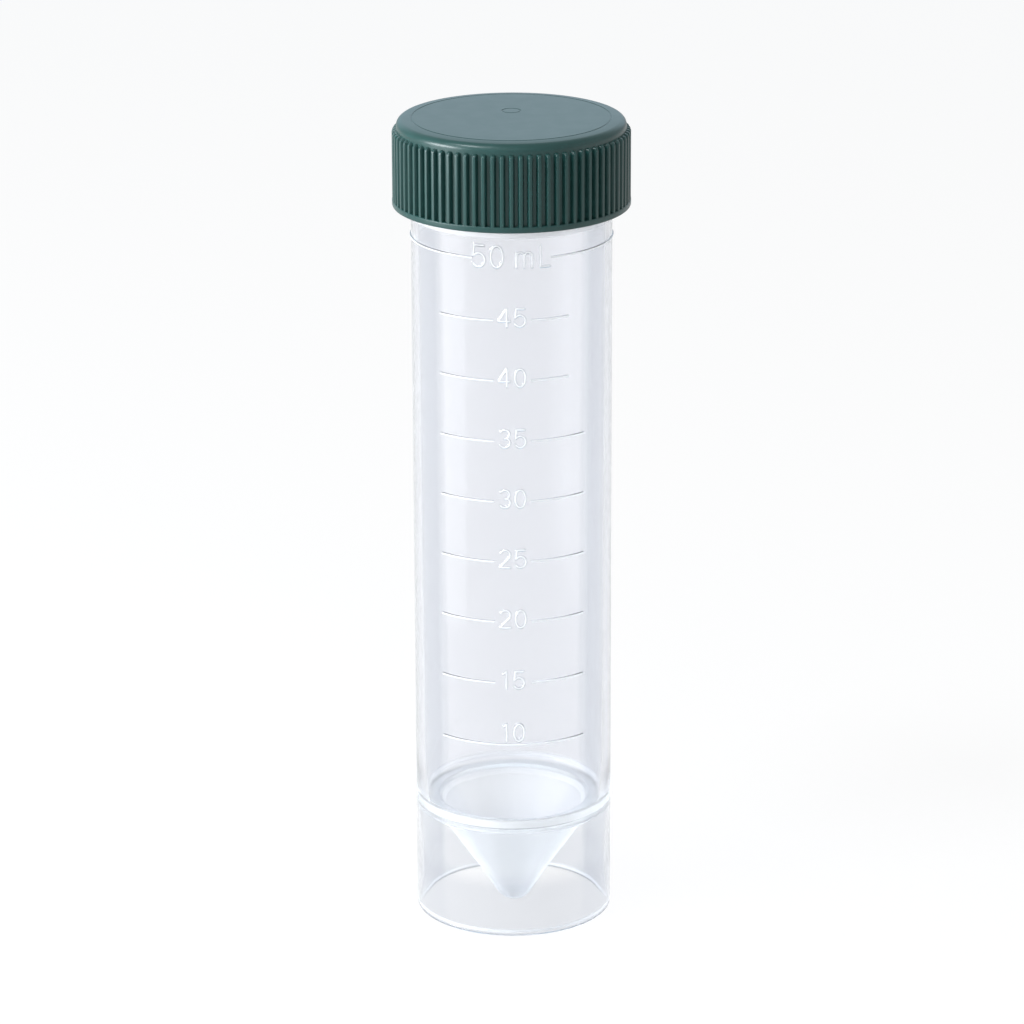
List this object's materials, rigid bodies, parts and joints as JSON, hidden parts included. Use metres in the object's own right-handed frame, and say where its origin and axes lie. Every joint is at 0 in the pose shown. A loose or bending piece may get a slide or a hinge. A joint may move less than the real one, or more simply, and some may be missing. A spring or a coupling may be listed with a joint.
{
  "type": "self-standing 50 ml conical tube",
  "caption": "Clear plastic tube with a conical bottom inside a skirt it stands on, raised volume lines, and a ribbed screw cap with a sealing liner.",
  "frame": {"origin": "on the tube's axis, in the plane of the foot ring that the tube stands on", "axes": "+Z along the axis, up towards the cap; -Y is the front, where the volume lines are"},
  "size_m": [0.034, 0.034, 0.1195],
  "materials": {
    "tube_polypropylene": "clear, slightly milky, smooth",
    "cap_green": "dark grey-green, satin",
    "liner_white": "white, soft"
  },
  "bodies": {
    "tube": {"tube": "tube_polypropylene"},
    "liner": {"seal_liner": "liner_white"},
    "cap": {"cap": "cap_green"}
  },
  "joints": [
    {"name": "cap_lift", "type": "slide", "parent": "tube", "child": "liner", "axis": [0, 0, 1], "range_m": [0, 0.0144]},
    {"name": "cap_turn", "type": "hinge", "parent": "liner", "child": "cap", "pos_m": [0, 0, 0.1132], "axis": [0, 0, 1], "range_deg": [0, 720]}
  ],
  "couplings": [
    {"joint": "cap_lift", "follows": "cap_turn", "m_per_rad": 0.0011459}
  ]
}
